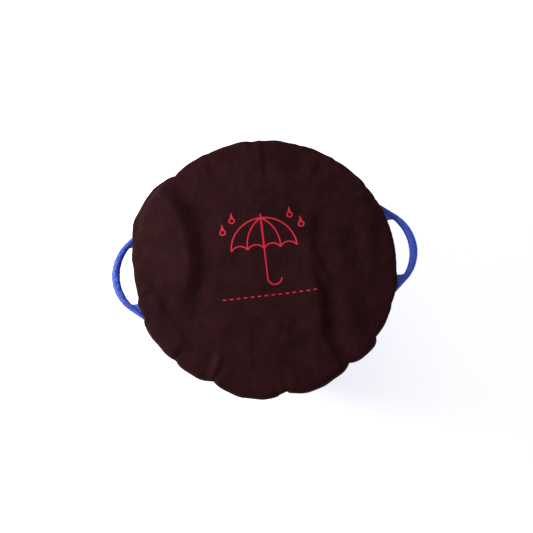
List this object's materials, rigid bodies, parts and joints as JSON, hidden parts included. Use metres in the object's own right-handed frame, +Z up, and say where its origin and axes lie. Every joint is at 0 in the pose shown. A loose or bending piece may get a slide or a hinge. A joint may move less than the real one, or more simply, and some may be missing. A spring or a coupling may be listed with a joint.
{
  "type": "flexible tub with elasticated cover",
  "caption": "Round flexible tub with an outward handle on each side and a dark woven cover whose elasticated hem grips under the rim.",
  "frame": {"origin": "on the floor, under the middle of the tub's base", "axes": "+X through the two handles, +Z up out of the mouth; the emblem reads upright from -Y"},
  "size_m": [0.544, 0.4532, 0.3417],
  "materials": {
    "tub_plastic": "soft satin, lightly pebbled on the grips",
    "cover_fabric": "plain-weave coated polyester, matte",
    "elastic_rubber": "braided elastic cord",
    "thread": "polyester sewing thread",
    "emblem_ink": "screen-printed ink"
  },
  "bodies": {
    "tub": {"tub_body": "tub_plastic"},
    "left_handle": {"left_handle": "tub_plastic"},
    "right_handle": {"right_handle": "tub_plastic"},
    "cover": {"cover_panel": "cover_fabric", "hem_casing": "cover_fabric", "elastic": "elastic_rubber", "elastic_join": "thread", "hem_thread": "thread", "printed_emblem": "emblem_ink"}
  },
  "joints": [
    {"name": "right_handle_flex", "type": "hinge", "parent": "tub", "child": "right_handle", "pos_m": [0.225, 0, 0.3225], "axis": [0, -1, 0], "range_deg": [-15, 60], "stiffness_Nm_per_rad": 0.6},
    {"name": "left_handle_flex", "type": "hinge", "parent": "tub", "child": "left_handle", "pos_m": [-0.225, 0, 0.3225], "axis": [0, 1, 0], "range_deg": [-15, 60], "stiffness_Nm_per_rad": 0.6},
    {"name": "cover_lift", "type": "slide", "parent": "tub", "child": "cover", "axis": [0, 0, 1], "range_m": [0, 0.15], "deforming": ["hem_casing", "elastic", "elastic_join", "hem_thread"]}
  ]
}
